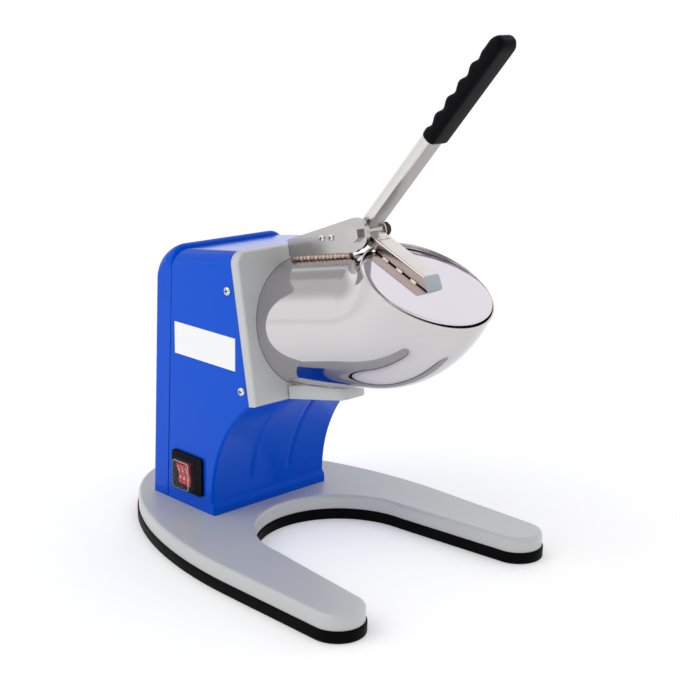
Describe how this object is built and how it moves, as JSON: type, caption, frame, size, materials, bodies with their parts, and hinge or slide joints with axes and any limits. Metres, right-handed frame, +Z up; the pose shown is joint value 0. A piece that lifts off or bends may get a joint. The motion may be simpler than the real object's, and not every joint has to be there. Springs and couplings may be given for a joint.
{
  "type": "shaved ice machine",
  "caption": "Electric shaved ice machine: a hand lever presses ice onto a disc of blades in a tilted steel hopper, above a forked stand.",
  "frame": {"origin": "middle of the whole machine's box, on the ground plane under the rubber edge", "axes": "+X forward, towards the open legs and the hopper's mouth; +Y to the left; +Z up"},
  "size_m": [0.4315, 0.288, 0.4854],
  "materials": {
    "grey_paint": "semi-gloss light grey paint",
    "blue_paint": "glossy deep blue enamel",
    "edge_rubber": "matt black rubber",
    "seal_rubber": "matt black rubber",
    "grip_rubber": "satin black rubber",
    "polished_steel": "mirror-polished stainless steel",
    "brushed_plate": "brushed stainless steel",
    "blade_steel": "ground steel",
    "screw_steel": "bright zinc",
    "weld_metal": "rough weld bead",
    "dark_nut": "dark zinc with an insert",
    "cast_aluminium": "as cast",
    "stator_iron": "laminated iron",
    "copper_wire": "varnished copper",
    "black_plastic": "satin black",
    "grey_plastic": "grey-blue cap",
    "white_plastic": "satin white",
    "red_plastic": "glossy red",
    "white_label": "blank white film",
    "clear_silicone": "clear soft silicone"
  },
  "bodies": {
    "machine": {"base_casting": "grey_paint", "base_rubber_edge": "edge_rubber", "base_screws": "screw_steel", "housing_shell": "blue_paint", "rear_cover": "blue_paint", "rear_cover_screws": "screw_steel", "housing_side_screws": "screw_steel", "front_casting": "grey_paint", "hopper": "polished_steel", "hopper_screws": "screw_steel", "shaft_seal": "seal_rubber", "lever_bracket": "brushed_plate", "bracket_weld": "weld_metal", "safety_switch": "black_plastic", "safety_switch_screws": "screw_steel", "pivot_bolt": "screw_steel", "pivot_washers": "screw_steel", "pivot_nut": "dark_nut", "motor_front_bell": "cast_aluminium", "motor_rear_bell": "cast_aluminium", "motor_stator": "stator_iron", "stator_windings": "copper_wire", "motor_tie_bolts": "screw_steel", "front_bearing": "screw_steel", "rear_bearing": "screw_steel", "run_capacitor": "white_plastic", "capacitor_clamp": "screw_steel", "terminal_block": "white_plastic", "cord_gland": "black_plastic", "switch_housing": "black_plastic", "switch_boot": "clear_silicone", "blank_label": "white_label"},
    "lever": {"pivot_sleeve": "brushed_plate", "handle_bar": "brushed_plate", "handle_grip": "grip_rubber", "pusher_arm": "brushed_plate", "arm_end_cap": "grey_plastic", "pusher_plate": "polished_steel", "lever_welds": "weld_metal"},
    "rotor": {"rotor_core": "stator_iron", "rotor_shaft": "screw_steel", "cooling_fan": "black_plastic", "blade_disc": "brushed_plate", "ice_blades": "blade_steel", "blade_screws": "screw_steel", "disc_nut": "polished_steel"},
    "rocker": {"switch_rocker": "red_plastic"},
    "button": {"safety_switch_button": "red_plastic"}
  },
  "joints": [
    {"name": "lever_pivot", "type": "hinge", "parent": "machine", "child": "lever", "pos_m": [0.069, 0, 0.311], "axis": [0, -1, 0], "range_deg": [-50, 55]},
    {"name": "rotor_spin", "type": "hinge", "parent": "machine", "child": "rotor", "pos_m": [0.08407, 0, 0.23345], "axis": [0.9816, 0, 0.1908], "continuous": true},
    {"name": "rocker_pivot", "type": "hinge", "parent": "machine", "child": "rocker", "pos_m": [-0.0997, -0.0735, 0.0573], "axis": [1, 0, 0], "range_deg": [-20, 0]},
    {"name": "button_press", "type": "slide", "parent": "machine", "child": "button", "axis": [-0.9816, 0, -0.1908], "range_m": [0, 0.0006], "stiffness_N_per_m": 400}
  ]
}
